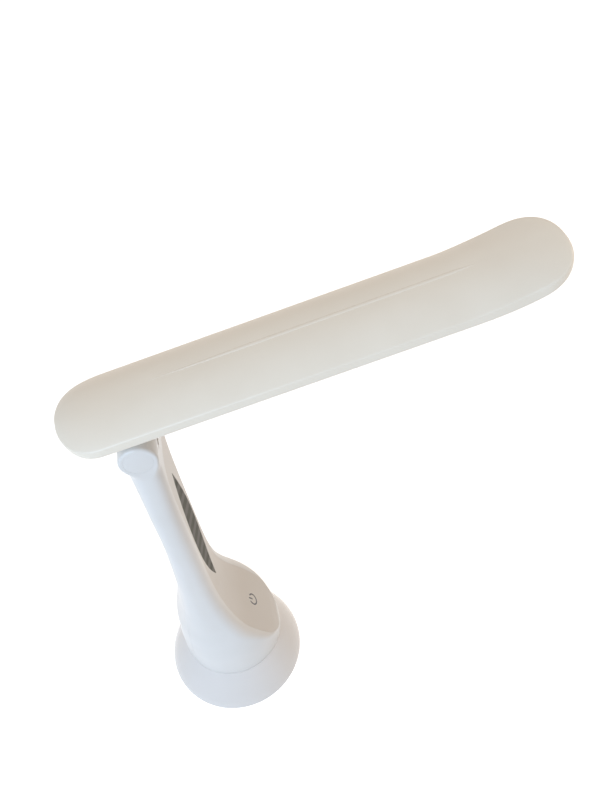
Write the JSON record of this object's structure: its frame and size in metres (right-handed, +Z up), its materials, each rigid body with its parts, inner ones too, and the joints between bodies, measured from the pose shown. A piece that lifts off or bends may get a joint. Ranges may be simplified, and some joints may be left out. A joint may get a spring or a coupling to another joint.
{
  "type": "folding led desk lamp",
  "caption": "White folding LED desk lamp with a round weighted base, a spoon-shaped stem, a touch switch and a long light head on one friction hinge.",
  "frame": {"origin": "centre of the rubber foot pad's underside, on the desk", "axes": "+Z up; +X from the base axis towards the user, the way the head reaches; +Y to the left of a user who faces the lamp's front"},
  "size_m": [0.2727, 0.109, 0.384],
  "materials": {
    "white_shell": "glossy",
    "white_inner": "satin",
    "panel": "glossy",
    "smoke": "glossy",
    "dark_plastic": "matte",
    "rubber_pad": "matte",
    "steel": "brushed",
    "brass": "turned",
    "cell": "wrapped",
    "circuit": "glossy",
    "white_board": "white lacquer",
    "black_parts": "matte",
    "copper": "foil",
    "insulation": "satin",
    "lamp_lens": "clear",
    "diffuser": "frosted",
    "phosphor": "glossy"
  },
  "bodies": {
    "base": {"base_skirt": "white_shell", "bottom_cover": "dark_plastic", "foot_pad": "rubber_pad", "ballast_plate": "steel", "base_screws": "steel", "body_screws": "steel", "battery_cradle": "dark_plastic", "battery_cell": "cell", "battery_contacts": "steel", "main_board": "circuit", "board_parts": "black_parts", "board_screws": "steel", "charge_socket": "dark_plastic", "charge_lamp": "lamp_lens", "front_shell": "white_shell", "rear_cover": "white_shell", "hinge_block": "white_shell", "block_screws": "steel", "front_panel": "panel", "stem_inlay": "smoke", "power_symbol": "smoke", "touch_pad": "copper", "touch_spring": "steel", "stem_lead": "insulation", "hub_near": "brass", "hub_far": "brass", "friction_washers": "steel", "barrel_cap_near": "white_shell", "barrel_cap_far": "white_shell"},
    "head": {"hinge_pin": "steel", "hinge_nut": "steel", "head_knuckle": "white_shell", "knuckle_screws": "steel", "head_shell": "white_shell", "crest_line": "white_shell", "light_frame": "white_shell", "frame_screws": "steel", "diffuser": "diffuser", "reflector_tray": "white_inner", "led_board": "white_board", "leds": "phosphor", "led_screws": "steel", "head_lead": "insulation"}
  },
  "joints": [
    {"name": "head_tilt", "type": "hinge", "parent": "base", "child": "head", "pos_m": [-0.0243, 0, 0.302], "axis": [0, 1, 0], "range_deg": [-75, 95]}
  ]
}
